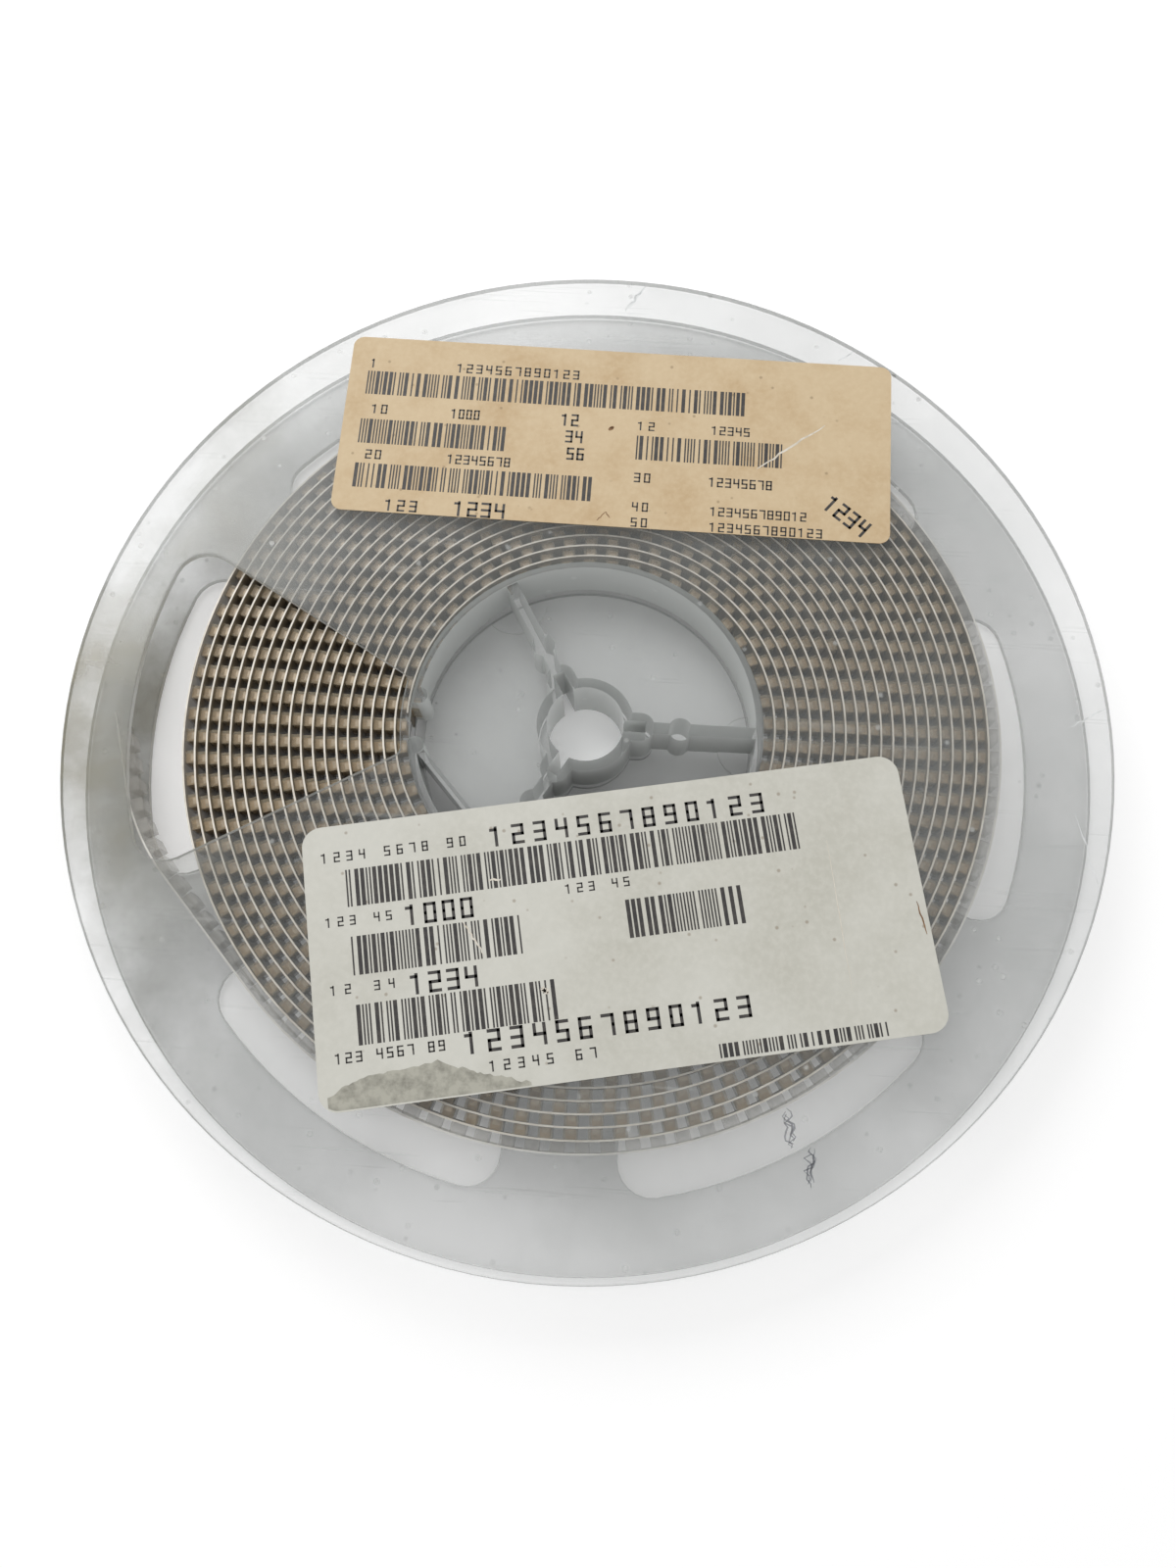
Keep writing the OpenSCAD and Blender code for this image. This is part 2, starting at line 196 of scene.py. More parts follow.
def build_scuffs(group, place, scale):
    """Fine straight scratches in two directions, broken up by patches."""
    total = None
    for turn, squeeze in ((0.5, 30), (-0.9, 22), (1.9, 36)):
        mapping = add_node(group, "ShaderNodeMapping")
        mapping.inputs["Rotation"].default_value = (0, 0, turn)
        mapping.inputs["Scale"].default_value = (1, squeeze, 1)
        group.links.new(place, mapping.inputs["Vector"])
        noise = add_node(group, "ShaderNodeTexNoise", Detail=2.0)
        group.links.new(mapping.outputs[0], noise.inputs["Vector"])
        group.links.new(scale, noise.inputs["Scale"])
        mask = ramp(group, noise.outputs["Fac"], 0.7, 0.8)
        if total is None:
            total = mask
        else:
            both = add_node(group, "ShaderNodeMath", operation="MAXIMUM")
            group.links.new(total, both.inputs[0])
            group.links.new(mask, both.inputs[1])
            total = both.outputs[0]
    return total


def build_specks(group, place, scale):
    """Small round specks of dust, here and there."""
    cells = add_node(group, "ShaderNodeTexVoronoi")
    group.links.new(place, cells.inputs["Vector"])
    group.links.new(scale, cells.inputs["Scale"])
    near = ramp(group, cells.outputs["Distance"], 0.16, 0.08)
    some = add_node(group, "ShaderNodeSeparateColor")
    group.links.new(cells.outputs["Color"], some.inputs[0])
    chosen = ramp(group, some.outputs[0], 0.72, 0.78)
    both = add_node(group, "ShaderNodeMath", operation="MULTIPLY")
    group.links.new(near, both.inputs[0])
    group.links.new(chosen, both.inputs[1])
    return both.outputs[0]


def build_blotches(group, place, scale):
    """Soft uneven patches."""
    noise = add_node(group, "ShaderNodeTexNoise", Detail=5.0, Roughness=0.62)
    group.links.new(place, noise.inputs["Vector"])
    group.links.new(scale, noise.inputs["Scale"])
    return ramp(group, noise.outputs["Fac"], 0.42, 0.68)


def build_walls(group, place, scale):
    """Faces that stand upright, such as a flange's rim or a window's edge, which get a painted
    highlight.
    """
    shape = group.nodes.new("ShaderNodeNewGeometry")
    parts = group.nodes.new("ShaderNodeSeparateXYZ")
    size = add_node(group, "ShaderNodeMath", operation="ABSOLUTE")
    group.links.new(shape.outputs["True Normal"], parts.inputs[0])
    group.links.new(parts.outputs["Z"], size.inputs[0])
    return ramp(group, size.outputs[0], 0.7, 0.2)


def build_grime(group, place, scale):
    """Patchy dirt that grows toward the reel's left rim."""
    parts = group.nodes.new("ShaderNodeSeparateXYZ")
    group.links.new(place, parts.inputs[0])
    left = ramp(group, parts.outputs["X"], -0.045, -0.09)
    both = add_node(group, "ShaderNodeMath", operation="MULTIPLY")
    group.links.new(left, both.inputs[0])
    group.links.new(build_blotches(group, place, scale), both.inputs[1])
    return both.outputs[0]


def build_core(group, place, scale):
    """The part inside the hub's wall."""
    away = add_node(group, "ShaderNodeVectorMath", operation="LENGTH")
    flat = add_node(group, "ShaderNodeVectorMath", operation="MULTIPLY")
    flat.inputs[1].default_value = (1, 1, 0)
    group.links.new(place, flat.inputs[0])
    group.links.new(flat.outputs[0], away.inputs[0])
    return ramp(group, away.outputs["Value"], 0.031, 0.029)


def build_groups():
    for name, build in (("scuffs", build_scuffs), ("specks", build_specks),
                        ("blotches", build_blotches), ("walls", build_walls),
                        ("grime", build_grime), ("core", build_core)):
        mask_group(name, build)


def place_mask(tree, name, scale, amount):
    node = tree.nodes.new("ShaderNodeGroup")
    node.node_tree = bpy.data.node_groups[name]
    node.inputs["Scale"].default_value = scale
    node.inputs["Amount"].default_value = amount
    return node.outputs["Mask"]


def start_material(name):
    material = bpy.data.materials.new(name)
    material.use_nodes = True
    tree = material.node_tree
    return material, tree, tree.nodes["Principled BSDF"]


def mixed(tree, mask, first, second):
    """Colour between two, by a mask. Each is a colour or a socket."""
    node = add_node(tree, "ShaderNodeMix", data_type="RGBA")
    tree.links.new(mask, node.inputs[0])
    for socket, value in ((node.inputs[6], first), (node.inputs[7], second)):
        if isinstance(value, bpy.types.NodeSocket):
            tree.links.new(value, socket)
        else:
            socket.default_value = value
    return node.outputs[2]


def summed(tree, *sockets):
    total = sockets[0]
    for socket in sockets[1:]:
        node = add_node(tree, "ShaderNodeMath", operation="ADD", use_clamp=True)
        tree.links.new(total, node.inputs[0])
        if isinstance(socket, float):
            node.inputs[1].default_value = socket
        else:
            tree.links.new(socket, node.inputs[1])
        total = node.outputs[0]
    return total


def clear_plastic(name, settings, haze, scuffs, dust, core):
    """Clear moulded polystyrene: hazier where it is scratched, dusty or seen edge on, its haze
    colour partly painted shade, and its upright faces painted near-white as a painted highlight.
    """
    material, tree, shader = start_material(name)
    shader.inputs["Roughness"].default_value = settings.gloss_roughness
    shader.inputs["IOR"].default_value = 1.59
    edge = add_node(tree, "ShaderNodeLayerWeight", Blend=0.22)
    rim = add_node(tree, "ShaderNodeMath", operation="MULTIPLY")
    rim.inputs[1].default_value = 0.45
    tree.links.new(edge.outputs["Facing"], rim.inputs[0])
    scratched = place_mask(tree, "scuffs", 26.0, scuffs)
    dusty = place_mask(tree, "specks", 260.0, dust)
    cloudy = place_mask(tree, "blotches", 14.0, haze * 1.6)
    walls = place_mask(tree, "walls", 1.0, 0.5)
    grime = place_mask(tree, "grime", 30.0, 0.5)
    inside = place_mask(tree, "core", 1.0, core)
    cover = summed(tree, scratched, dusty, cloudy, walls, grime, inside, rim.outputs[0], haze)
    tree.links.new(cover, shader.inputs["Alpha"])
    # Base colour is the haze colour, darkened in part as painted shade.
    colour = mixed(tree, summed(tree, scratched, dusty), settings.haze_and_shade_tint, srgb(222, 222, 218))
    # Upright faces, such as flange rims and window edges, are painted near-white: a painted
    # highlight.
    colour = mixed(tree, walls, colour, srgb(240, 242, 240))
    colour = mixed(tree, summed(tree, grime, grime), colour, srgb(146, 141, 120))
    tree.links.new(colour, shader.inputs["Base Color"])
    return material


def grained(name, colour, second, scale, roughness, bump=0.0, alpha=None, metallic=0.0):
    """Plain finish broken up by soft patches, with a fine bump."""
    material, tree, shader = start_material(name)
    shader.inputs["Metallic"].default_value = metallic
    shader.inputs["Roughness"].default_value = roughness
    mask = place_mask(tree, "blotches", scale, 1.0)
    tree.links.new(mixed(tree, mask, colour, second), shader.inputs["Base Color"])
    if alpha is not None:
        cover = ramp(tree, mask, 0, 1)
        cover.node.inputs["To Min"].default_value = alpha * 0.85
        cover.node.inputs["To Max"].default_value = alpha
        tree.links.new(cover, shader.inputs["Alpha"])
    if bump:
        raised = add_node(tree, "ShaderNodeBump", Strength=bump, Distance=0.00005)
        tree.links.new(mask, raised.inputs["Height"])
        tree.links.new(raised.outputs[0], shader.inputs["Normal"])
    return material


# ---------------------------------------------------------------- meshes


class Builder:
    """Gathers the corners and faces of one piece, in millimetres."""

    def __init__(self):
        self.corners, self.faces, self.slots = [], [], []

    def add(self, corners, faces, slot=0):
        start = len(self.corners)
        self.corners += [tuple(c) for c in corners]
        self.faces += [tuple(start + i for i in face) for face in faces]
        self.slots += slot if isinstance(slot, list) else [slot] * len(faces)

    def box(self, place, low, high, slot=0, faces=((0, 3, 2, 1), (4, 5, 6, 7), (0, 1, 5, 4),
                                                   (1, 2, 6, 5), (2, 3, 7, 6), (3, 0, 4, 7))):
        """A block from low to high, in the axes of place."""
        points = [(x, y, z) for z in (low[2], high[2])
                  for x, y in ((low[0], low[1]), (high[0], low[1]),
                               (high[0], high[1]), (low[0], high[1]))]
        self.add([place @ Vector(p) for p in points], faces, slot)

    def make(self, name, materials, slot_name, smooth=False):
        mesh = bpy.data.meshes.new(name)
        mesh.from_pydata([Vector(c) * MM for c in self.corners], [], self.faces)
        for material in materials:
            mesh.materials.append(material)
        mesh.polygons.foreach_set("material_index", self.slots)
        mesh.polygons.foreach_set("use_smooth", [smooth] * len(self.faces))
        mesh.update()
        piece = bpy.data.objects.new(name, mesh)
        bpy.context.scene.collection.objects.link(piece)
        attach(piece, BODY)
        return piece


# ---------------------------------------------------------------- the winding's geometry

TAPE_Z = TAPE_LOW.z / MM
TAPE_W = (TAPE_HIGH.z - TAPE_LOW.z) / MM
POCKET_Z = TAPE_Z + 5.25
POCKET_L, POCKET_W, POCKET_DEPTH = 3.9, 2.3, 1.72
CHIP_L, CHIP_W, CHIP_H, CHIP_FOOT_T = 3.2, 1.6, 1.6, 0.12
FOOT_W, FOOT_H, FOOT_REACH = 1.2, 0.8, 0.8
TAIL_RUN, TAIL_BEND_R, TAIL_BEND, TAIL_TIP = 24.0, 40.0, 26.0, 13.0
TAIL_BEND_L = math.radians(TAIL_BEND) * TAIL_BEND_R
STATION_STEP = 2.5  # degrees from one station along the tape to the next
TAIL_STATIONS = 40
CHIP_PLAY = 0.08


class Winding:
    """The tape's settings in millimetres and degrees."""

    def __init__(self, settings):
        self.turn_pitch = settings.turn_pitch / MM
        self.first_radius = settings.first_radius / MM
        self.half_turns = settings.half_turns
        self.lean = [value / MM for value in settings.lean]
        self.leave_at = math.degrees(settings.leave_at)
        self.empty_from = math.degrees(settings.empty_from)
        self.thickness = settings.thickness / MM
        self.pocket_pitch = settings.pocket_pitch / MM


def half_radius(tape, i):
    return tape.first_radius + i * tape.turn_pitch / 2


def half_centre(tape, i):
    shift = tape.turn_pitch / 4
    return Vector((tape.lean[0] + (shift if i % 2 == 0 else -shift), tape.lean[1]))


def half_start(i):
    return 180 if i % 2 == 0 else 360


def pocket_bearings(tape, i):
    count = math.floor(math.pi * half_radius(tape, i) / tape.pocket_pitch)
    return [half_start(i) - (k + 0.5) * 180 / count for k in range(count)]


def is_loaded(tape, i, bearing):
    last = tape.half_turns - 1
    return i < last - 1 or i == last - 1 and bearing > tape.empty_from


def on_turn(tape, i, bearing, inset=0.0):
    """Place on a half turn with X outward, Y along it and Z up."""
    at = half_centre(tape, i) + (half_radius(tape, i) - inset) * toward(bearing)
    return Matrix.Translation((at.x, at.y, 0)) @ Matrix.Rotation(math.radians(bearing), 4, "Z")


def on_tail(tape, s):
    """Place along the free end, with X outward, Y backward and Z up."""
    last = tape.half_turns - 1
    start = half_centre(tape, last) + (half_radius(tape, last) - tape.thickness / 2) * toward(
        tape.leave_at)
    turned = 0.0
    if s < TAIL_RUN:
        local = Vector((s, 0))
    else:
        turned = min(TAIL_BEND, math.degrees((s - TAIL_RUN) / TAIL_BEND_R))
        angle = math.radians(turned)
        local = Vector((TAIL_RUN + TAIL_BEND_R * math.sin(angle),
                        TAIL_BEND_R * (math.cos(angle) - 1)))
        if s > TAIL_RUN + TAIL_BEND_L:
            past = s - TAIL_RUN - TAIL_BEND_L
            local += past * Vector((math.cos(angle), -math.sin(angle)))
    heading = tape.leave_at - 90
    at = start + local.x * toward(heading) + local.y * toward(heading + 90)
    place = Matrix.Translation((at.x, at.y, 0))
    return place @ Matrix.Rotation(math.radians(heading + 90 - turned), 4, "Z")


def stations(tape, loaded):
    """Places along the tape's back, for the loaded stretch or for the empty rest of it."""
    last = tape.half_turns - 1
    spans = []
    for i in range(tape.half_turns):
        start = half_start(i)
        end = tape.leave_at if i == last else start - 180
        if i < last - 1:
            spans += [(i, start, end)] if loaded else []
        elif i == last - 1:
            spans += [(i, start, tape.empty_from)] if loaded else [(i, tape.empty_from, end)]
        elif not loaded:
            spans.append((i, start, end))
    found = []
    for i, start, end in spans:
        count = max(1, math.ceil((start - end) / STATION_STEP))
        found += [on_turn(tape, i, start + (end - start) * k / count) for k in range(count + 1)]
    if not loaded:
        total = TAIL_RUN + TAIL_BEND_L + TAIL_TIP
        half = Matrix.Translation((tape.thickness / 2, 0, 0))
        found += [on_tail(tape, total * k / TAIL_STATIONS) @ half
                  for k in range(1, TAIL_STATIONS + 1)]
    return found


def add_web(builder, tape, places):
    """The tape's flat back along the given places, its edges in the second material."""
    ring = [(0, TAPE_Z), (0, TAPE_Z + TAPE_W), (-tape.thickness, TAPE_Z + TAPE_W),
            (-tape.thickness, TAPE_Z)]
    corners = [place @ Vector((x, 0, z)) for place in places for x, z in ring]
    sides, edges = [], []
    for k in range(len(places) - 1):
        for j in range(4):
            face = (4 * k + j, 4 * k + (j + 1) % 4, 4 * k + 4 + (j + 1) % 4, 4 * k + 4 + j)
            (sides if j in (0, 2) else edges).append(face)
    builder.add(corners, sides + edges, [0] * len(sides) + [1] * len(edges))


POCKET_FACES = ((0, 3, 2, 1), (4, 5, 6, 7), (0, 1, 5, 4), (2, 3, 7, 6), (3, 0, 4, 7))


def add_pocket(builder, place):
    low = (-POCKET_DEPTH, -POCKET_W / 2, POCKET_Z - POCKET_L / 2)
    builder.box(place, low, (0, POCKET_W / 2, POCKET_Z + POCKET_L / 2), 2, POCKET_FACES)


# ---------------------------------------------------------------- operators


class REEL_OT_plastic(bpy.types.Operator):
    """Gives both flanges and the hub their clear scuffed plastic"""

    bl_idname = "reel.plastic"
    bl_label = "Reel plastic"

    def execute(self, context):
        settings = context.scene.reel_plastic
        for node, scuffs, dust, core in (("front_flange", 0.16, 0.35, 0.0),
                                         ("hub_and_back_flange", 0.10, 0.2, 0.22)):
            material = clear_plastic("clear_" + node, settings, settings.haze, scuffs, dust,
                                     core)
            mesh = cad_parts[node].data
            mesh.materials.clear()
            mesh.materials.append(material)
        return {"FINISHED"}


class REEL_OT_winding(bpy.types.Operator):
    """Winds the embossed tape, loaded and empty, with its free end"""

    bl_idname = "reel.winding"
    bl_label = "Wound tape"

    def execute(self, context):
        tape = Winding(context.scene.reel_tape)
        dull = grained("tape_back", srgb(150, 137, 116), srgb(122, 110, 90), 90.0, 0.4,
                       alpha=0.75)
        # The tape's edge faces are painted near-white, far lighter than the same plastic's back:
        # a painted highlight on the edge of each turn.
        edge = grained("tape_edge", srgb(232, 226, 214), srgb(206, 198, 184), 300.0, 0.3)
        pocket = grained("tape_pocket", srgb(176, 163, 136), srgb(146, 131, 104), 200.0, 0.25,
                         alpha=0.5)
        loaded = Builder()
        add_web(loaded, tape, stations(tape, True))
        for i in range(tape.half_turns):
            for bearing in pocket_bearings(tape, i):
                if is_loaded(tape, i, bearing):
                    add_pocket(loaded, on_turn(tape, i, bearing, tape.thickness))
        wound = loaded.make("wound_tape", [dull, edge, pocket], "tape_plastic")
        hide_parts("carrier_tape")
        clear_web = grained("empty_tape_back", srgb(214, 212, 206), srgb(190, 187, 180), 60.0,
                            0.25, alpha=0.36)
        clear_edge = grained("empty_tape_edge", srgb(226, 224, 218), srgb(204, 200, 192), 200.0,
                             0.3)
        clear_pocket = grained("empty_pocket", srgb(206, 204, 198), srgb(180, 176, 168), 200.0,
                               0.22, alpha=0.4)
        empty = Builder()
        add_web(empty, tape, stations(tape, False))
        last = tape.half_turns - 1
        for i in (last - 1, last):
            for bearing in pocket_bearings(tape, i):
                if is_loaded(tape, i, bearing) or (i == last and bearing < tape.leave_at):
                    continue
                add_pocket(empty, on_turn(tape, i, bearing, tape.thickness))
        total = TAIL_RUN + TAIL_BEND_L + TAIL_TIP
        back = Matrix.Translation((-tape.thickness / 2, 0, 0))
        for k in range(math.floor(total / tape.pocket_pitch)):
            add_pocket(empty, on_tail(tape, (k + 0.5) * tape.pocket_pitch) @ back)
        empty.make("empty_tape", [clear_web, clear_edge, clear_pocket], "tape_plastic")
        return {"FINISHED"}


class REEL_OT_chips(bpy.types.Operator):
    """Puts a chip with two metal feet into each loaded pocket"""

    bl_idname = "reel.chips"
    bl_label = "Chips"

    def execute(self, context):
        tape, chips = Winding(context.scene.reel_tape), context.scene.reel_chips
        draw = random.Random(7)
        bodies, feet = Builder(), Builder()
        play = (POCKET_DEPTH - CHIP_H) / 2
        for i in range(tape.half_turns):
            for bearing in pocket_bearings(tape, i):
                if not is_loaded(tape, i, bearing):
                    continue
                sway = draw.uniform(-CHIP_PLAY, CHIP_PLAY)
                rise = draw.uniform(-CHIP_PLAY, CHIP_PLAY)
                place = (on_turn(tape, i, bearing, tape.thickness)
                         @ Matrix.Translation((-play - CHIP_H, sway, POCKET_Z + rise)))
                bodies.box(place, (CHIP_FOOT_T, -CHIP_W / 2, -CHIP_L / 2 + CHIP_FOOT_T),
                           (CHIP_H, CHIP_W / 2, CHIP_L / 2 - CHIP_FOOT_T))
                for side in (-1, 1):
                    end, fold = side * CHIP_L / 2, side * (CHIP_L / 2 - FOOT_REACH)
                    wall = side * (CHIP_L / 2 - CHIP_FOOT_T)
                    feet.box(place, (0, -FOOT_W / 2, min(end, wall)),
                             (FOOT_H, FOOT_W / 2, max(end, wall)))
                    feet.box(place, (0, -FOOT_W / 2, min(fold, wall)),
                             (CHIP_FOOT_T, FOOT_W / 2, max(fold, wall)))
        resin = grained("chip_resin", chips.resin, srgb(140, 110, 76), 900.0, 0.55)
        tin = grained("chip_tin", chips.tin, srgb(150, 140, 128), 1200.0, 0.32, metallic=0.85)
        body = bodies.make("chip_bodies", [resin], "moulded_resin")
        foot = feet.make("chip_feet", [tin], "tinned_metal")
        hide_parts("capacitor_bodies")
        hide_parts("capacitor_terminals")
        return {"FINISHED"}


# Print on a label: bars as (left, right, low, high), and digits as (text, left, right, low, high)
AGED_BARS = ((-46.6, 24.2, 5.9, 10.8), (-46.7, -19.2, -4.3, 0.7), (4.0, 31.3, -4.3, 0.6),
             (-46.6, -3.2, -13.3, -8.4))
AGED_DIGITS = (("1", -46.2, -45.3, 11.5, 13.4), ("1234567890123", -30.2, -6.8, 11.5, 13.4),
               ("10", -45.0, -41.5, 1.9, 3.8), ("1000", -30.3, -24.7, 1.8, 3.8),
               ("12", -10.0, -6.4, 1.7, 4.2), ("34", -9.0, -5.4, -1.7, 0.8),
               ("56", -8.5, -4.9, -5.2, -2.7),
               ("12", 4.0, 8.0, 1.7, 3.5), ("12345", 17.5, 24.8, 1.7, 3.5),
               ("20", -45.0, -41.5, -7.5, -5.6), ("12345678", -30.0, -18.2, -7.5, -5.6),
               ("30", 4.0, 7.6, -8.9, -7.0), ("12345678", 17.5, 29.2, -8.9, -7.0),
               ("123", -40.2, -33.6, -17.7, -15.4), ("1234", -27.8, -18.0, -17.9, -14.9),
               ("40", 4.0, 7.6, -14.7, -12.9), ("123456789012", 18.0, 35.5, -14.7, -12.9),
               ("50", 4.0, 7.6, -17.8, -16.0), ("1234567890123", 18.0, 38.5, -17.8, -16.0))
WHITE_BARS = ((-43.2, 32.4, 9.1, 15.3), (-43.1, -15.0, -2.1, 4.2), (1.7, 21.2, -1.9, 4.4),
              (-43.1, -11.2, -13.2, -6.8), (13.2, 41.3, -22.5, -20.3))
WHITE_DIGITS = (("1234 5678 90", -47.0, -22.0, 16.8, 18.5),
                ("1234567890123", -19.0, 28.3, 16.0, 19.4),
                ("123 45", -47.0, -35.2, 6.1, 7.7), ("1000", -34.0, -22.0, 4.8, 8.2),
                ("123 45", -7.7, 3.8, 6.6, 8.2),
                ("12 34", -47.0, -35.3, -4.9, -3.3), ("1234", -34.2, -22.5, -6.4, -3.0),
                ("123 4567 89", -47.0, -29.0, -15.7, -14.0),
                ("1234567890123", -26.5, 20.7, -16.8, -13.3),
                ("12345 67", -23.0, -4.8, -19.9, -18.2))


def add_bars(builder, place, left, right, low, high, draw):
    """Row of upright bars of two widths, with uneven spaces."""
    narrow, wide = 0.27, 0.66
    x = left
    while x < right - wide:
        width = wide if draw.random() < 0.36 else narrow
        builder.add([place @ Vector(p) for p in ((x, low, 0), (x + width, low, 0),
                                                 (x + width, high, 0), (x, high, 0))],
                    [(0, 1, 2, 3)])
        x += width + (wide if draw.random() < 0.3 else narrow)


# Strokes of a squared digit, from one corner of a 1 by 2 grid to another
STROKES = {"a": ((0, 2), (1, 2)), "b": ((1, 1), (1, 2)), "c": ((1, 0), (1, 1)),
           "d": ((0, 0), (1, 0)), "e": ((0, 0), (0, 1)), "f": ((0, 1), (0, 2)),
           "g": ((0, 1), (1, 1)), "h": ((0.5, 0), (0.5, 2)), "i": ((0, 1.8), (0.5, 1.8))}
DIGITS = {"0": "abcdef", "1": "hi", "2": "abged", "3": "abgcd", "4": "fgbc", "5": "afgcd",
          "6": "afgedc", "7": "abc", "8": "abcdefg", "9": "abcdfg", " ": ""}


def add_digits(builder, place, text, left, right, low, high):
    """Line of squared digits at an even pitch, between the given sides."""
    tall = high - low
    pen = 0.15 * tall
    step = (right - left) / len(text)
    wide = min(0.6 * tall, 0.74 * step) - pen
    for k, digit in enumerate(text):
        for stroke in DIGITS[digit]:
            (x0, y0), (x1, y1) = STROKES[stroke]
            x0, x1 = (left + k * step + pen / 2 + wide * x for x in (x0, x1))
            y0, y1 = (low + pen / 2 + (tall - pen) / 2 * y for y in (y0, y1))
            corners = ((x0 - pen / 2, y0 - pen / 2), (x1 + pen / 2, y0 - pen / 2),
                       (x1 + pen / 2, y1 + pen / 2), (x0 - pen / 2, y1 + pen / 2))
            builder.add([place @ Vector((x, y, 0)) for x, y in corners], [(0, 1, 2, 3)])


def add_sheet(builder, place, length, width, radius, low, high):
    """Sheet with rounded corners, as a closed slab."""
    outline = []
    for x, y, start in ((1, 1, 0), (-1, 1, 90), (-1, -1, 180), (1, -1, 270)):
        centre = Vector((x * (length / 2 - radius), y * (width / 2 - radius)))
        outline += [centre + radius * toward(start + 90 * k / 8) for k in range(9)]
    n = len(outline)
    corners = [place @ Vector((p.x, p.y, z)) for z in (low, high) for p in outline]
    walls = [(k, (k + 1) % n, n + (k + 1) % n, n + k) for k in range(n)]
    builder.add(corners, [tuple(range(n - 1, -1, -1)), tuple(range(n, 2 * n)), *walls])


def add_ribbon(builder, place, points, width):
    """Thin flat line through the points, narrowing to its ends."""
    n = len(points)
    corners = []
    for k, point in enumerate(points):
        along = Vector(points[min(k + 1, n - 1)]) - Vector(points[max(k - 1, 0)])
        side = Vector((-along.y, along.x)).normalized() * width / 2
        side *= 0.25 + 0.75 * math.sin(math.pi * (k + 0.5) / n)
        for s in (-1, 1):
            corners.append(place @ Vector((point[0] + s * side.x, point[1] + s * side.y, 0)))
    builder.add(corners, [(2 * k, 2 * k + 2, 2 * k + 3, 2 * k + 1) for k in range(n - 1)])


def wobbly(draw, start, end, count, spread):
    """Points from start to end, shaken to the sides."""
    a, b = Vector(start), Vector(end)
    side = Vector((a.y - b.y, b.x - a.x)).normalized()
    return [a + (b - a) * k / count + side * draw.uniform(-spread, spread) * (0 < k < count)
            for k in range(count + 1)]


AGED_AT, AGED_TURN = (2, 55.1), -0.8
WHITE_AT, WHITE_TURN = (7.5, -34.6), 10.9


def label_place(at, turn, z):
    return Matrix.Translation((at[0], at[1], z)) @ Matrix.Rotation(math.radians(turn), 4, "Z")


def paper(name, colour, stain, stain_scale, fibre):
    """Uncoated paper: soft stains over a fine fibre, with a slight bump."""
    material, tree, shader = start_material(name)
    shader.inputs["Roughness"].default_value = 0.62
    stains = place_mask(tree, "blotches", stain_scale, 0.75)
    fine = place_mask(tree, "blotches", 900.0, 0.35)
    specks = place_mask(tree, "specks", 420.0, 0.5)
    base = mixed(tree, stains, colour, stain)
    base = mixed(tree, fine, base, fibre)
    base = mixed(tree, specks, base, srgb(120, 98, 70))
    tree.links.new(base, shader.inputs["Base Color"])
    raised = add_node(tree, "ShaderNodeBump", Strength=0.25, Distance=0.00004)
    tree.links.new(fine, raised.inputs["Height"])
    tree.links.new(raised.outputs[0], shader.inputs["Normal"])
    return material


def add_label(kind, at, turn, size, radius, material, bars, digits, node, seed):
    """A printed paper label that stands for its CAD sheet."""
    slot_name = kind + "_paper"
    sheet = Builder()
    lift = 0.02
    place = label_place(at, turn, 0)
    add_sheet(sheet, place, size[0], size[1], radius, FACE_Z, LABEL_TOP - lift)
    piece = sheet.make(kind + "_label_sheet", [material], slot_name)
    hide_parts(node)
    draw = random.Random(seed)
    print_z = label_place(at, turn, LABEL_TOP - lift / 2)
    printed = Builder()
    for left, right, low, high in bars:
        add_bars(printed, print_z, left, right, low, high, draw)
    for row in digits:
        add_digits(printed, print_z, *row)
    return printed, draw


# Scratches and stains as (label, start, end, width)
SCRATCHES = (("aged", (38, 5), (26, -4.7), 0.4), ("white", (-25, 4.5), (-22, -1.5), 0.3),
             ("white", (-20, 10.5), (-18, 10.5), 0.35), ("white", (-13.6, -8), (-12.4, -9), 0.7),
             ("white", (36, 10), (35.6, -15), 0.12))
STAINS = (("aged", (-1.3, 1.5), (-0.3, 1.9), 0.7), ("aged", (-2.1, -17), (-0.6, -15.2), 0.2),
          ("aged", (-0.6, -15.2), (0.2, -16.4), 0.2), ("white", (48.6, -2), (49.2, -7.5), 0.25))
# Torn edge of the white label, and the rounded corner that it runs into
TEAR_EDGE = ((-48.6, -20.4), (-44, -18.6), (-39, -17.7), (-31, -17.2), (-26, -19.3),
             (-22, -20.5), (-16, -22.6))
TEAR_FOOT, TEAR_CORNER_X, TEAR_CORNER_R, TEAR_STEPS = -22.75, -46.8, 3.0, 8


